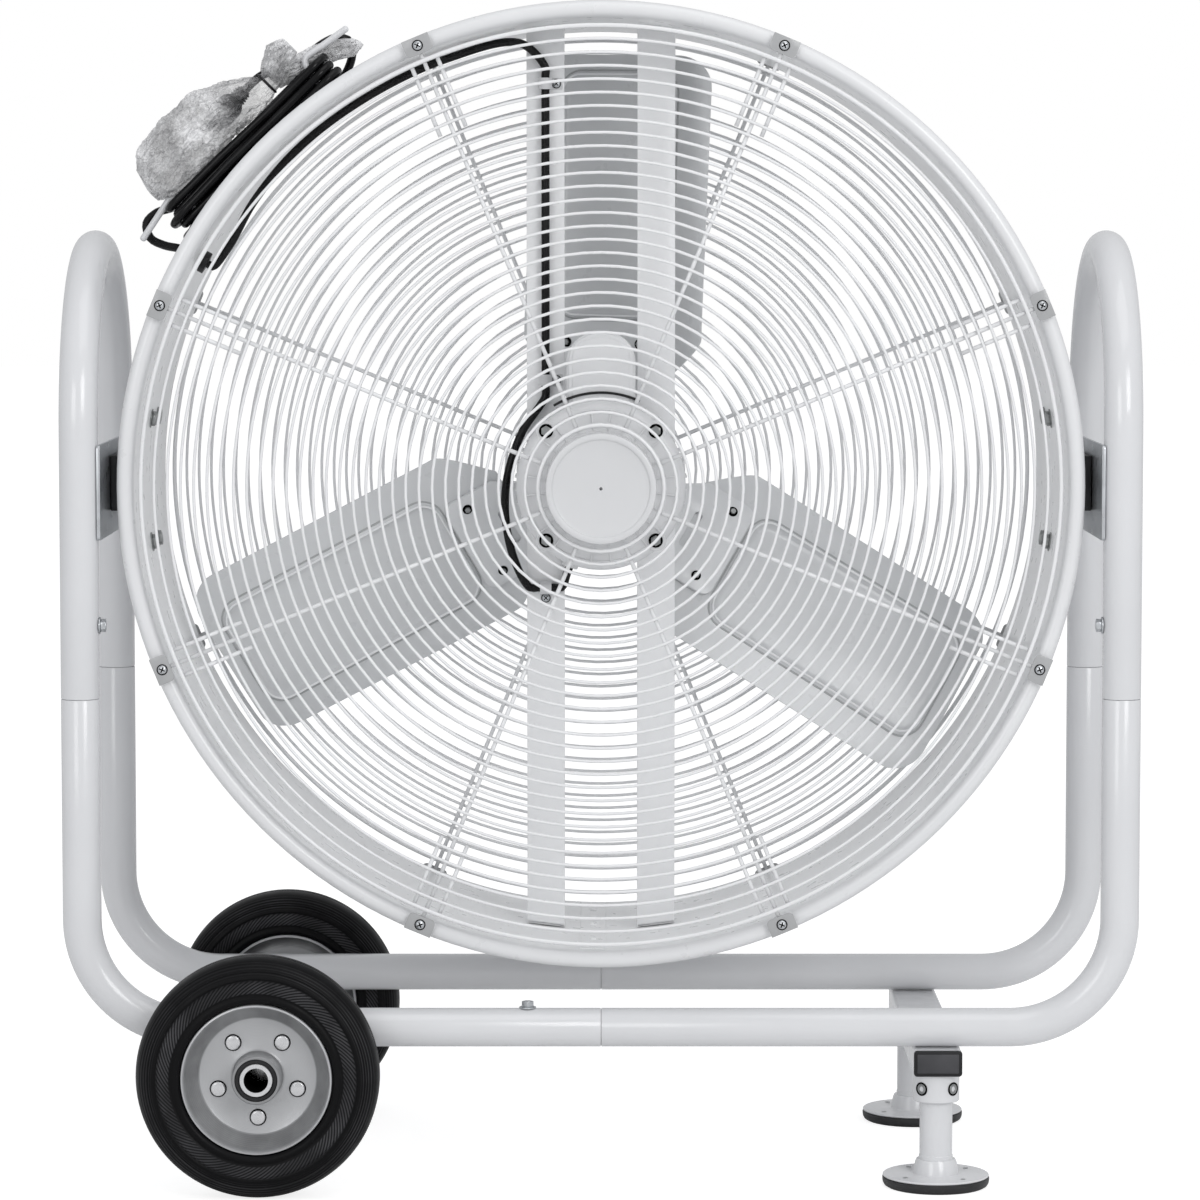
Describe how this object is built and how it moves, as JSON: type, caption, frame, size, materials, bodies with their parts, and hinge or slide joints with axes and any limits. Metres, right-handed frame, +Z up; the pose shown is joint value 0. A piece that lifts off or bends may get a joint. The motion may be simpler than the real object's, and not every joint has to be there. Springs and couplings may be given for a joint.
{
  "type": "drum fan",
  "caption": "Drum fan: a steel drum with wire guards, motor and bladed rotor tilts between arched tube posts on a floor frame with wheels at one end and clamped feet at the other.",
  "frame": {"origin": "on the floor, under the middle of the tube frame", "axes": "+Z up, -Y out of the air outlet with its front grille, +X towards the feet, -X towards the wheels"},
  "size_m": [1.114, 0.54, 1.2228],
  "materials": {
    "frame_paint": "smooth glossy light grey powder coat",
    "white_paint": "satin white powder coat",
    "grille_coat": "glossy white coated wire",
    "motor_paint": "satin pale grey paint",
    "spider_paint": "satin grey paint",
    "rim_paint": "pressed sheet steel with silver grey paint",
    "hook_coat": "coated light grey wire",
    "zinc_plate": "bright zinc plated steel",
    "bright_steel": "plain turned steel",
    "rubber_pad": "black moulded rubber",
    "tyre_rubber": "black tyre with grooves and a fine hatched band",
    "black_plastic": "black moulded plastic",
    "cap_plastic": "pale grey moulded cap",
    "cord_rubber": "glossy black flexible cord sheath",
    "wrap_film": "crinkled see-through bubble film, grey white"
  },
  "bodies": {
    "frame": {"lower_tube_front_right": "frame_paint", "lower_tube_front_left": "frame_paint", "lower_tube_rear_right": "frame_paint", "lower_tube_rear_left": "frame_paint", "arch_tube_right": "frame_paint", "arch_tube_left": "frame_paint", "frame_bolt_front": "zinc_plate", "frame_bolt_rear": "zinc_plate", "post_bolt_front_right": "zinc_plate", "post_bolt_front_left": "zinc_plate", "post_bolt_rear_right": "zinc_plate", "post_bolt_rear_left": "zinc_plate", "pivot_plate_right": "zinc_plate", "pivot_plate_left": "zinc_plate", "pivot_bolt_right": "zinc_plate", "pivot_bolt_left": "zinc_plate", "pivot_pad_right": "rubber_pad", "pivot_pad_left": "rubber_pad", "wheel_axle": "bright_steel", "foot_crossbar": "frame_paint", "crossbar_cap_front": "black_plastic", "crossbar_cap_rear": "black_plastic", "set_screw_front_left": "bright_steel", "set_screw_front_right": "bright_steel", "set_screw_rear_left": "bright_steel", "set_screw_rear_right": "bright_steel"},
    "foot_front": {"foot_leg_front": "frame_paint", "foot_pad_front": "rubber_pad"},
    "foot_rear": {"foot_leg_rear": "frame_paint", "foot_pad_rear": "rubber_pad"},
    "wheel_front": {"wheel_tyre_front": "tyre_rubber", "wheel_rim_front": "rim_paint", "wheel_bush_front": "black_plastic"},
    "wheel_rear": {"wheel_tyre_rear": "tyre_rubber", "wheel_rim_rear": "rim_paint", "wheel_bush_rear": "black_plastic"},
    "drum": {"drum_bracket_right": "zinc_plate", "drum_bracket_left": "zinc_plate", "drum_shell": "white_paint", "front_grille": "grille_coat", "rear_grille": "grille_coat", "strut_left": "white_paint", "strut_right": "white_paint", "motor": "motor_paint", "motor_cap": "cap_plastic", "capacitor_box": "motor_paint", "motor_cable": "cord_rubber", "cord_gland": "black_plastic", "cord_hook_upper": "hook_coat", "cord_hook_lower": "hook_coat", "cord_lead": "cord_rubber", "cord_hank": "cord_rubber", "cord_tail": "cord_rubber", "cord_plug": "black_plastic", "plug_wrap": "wrap_film"},
    "rotor": {"motor_shaft": "bright_steel", "hub_spider": "spider_paint", "blade_1": "white_paint", "blade_2": "white_paint", "blade_3": "white_paint"}
  },
  "joints": [
    {"name": "tilt", "type": "hinge", "parent": "frame", "child": "drum", "pos_m": [0, 0, 0.726], "axis": [1, 0, 0], "range_deg": [-90, 90]},
    {"name": "fan_spin", "type": "hinge", "parent": "drum", "child": "rotor", "pos_m": [0, 0.062, 0.726], "axis": [0, 1, 0], "continuous": true},
    {"name": "wheel_front_spin", "type": "hinge", "parent": "frame", "child": "wheel_front", "pos_m": [-0.352, -0.24, 0.125], "axis": [0, 1, 0], "continuous": true},
    {"name": "wheel_rear_spin", "type": "hinge", "parent": "frame", "child": "wheel_rear", "pos_m": [-0.352, 0.24, 0.125], "axis": [0, 1, 0], "continuous": true},
    {"name": "foot_front_slide", "type": "slide", "parent": "frame", "child": "foot_front", "axis": [0, 0, -1], "range_m": [0, 0.02]},
    {"name": "foot_rear_slide", "type": "slide", "parent": "frame", "child": "foot_rear", "axis": [0, 0, -1], "range_m": [0, 0.02]}
  ]
}
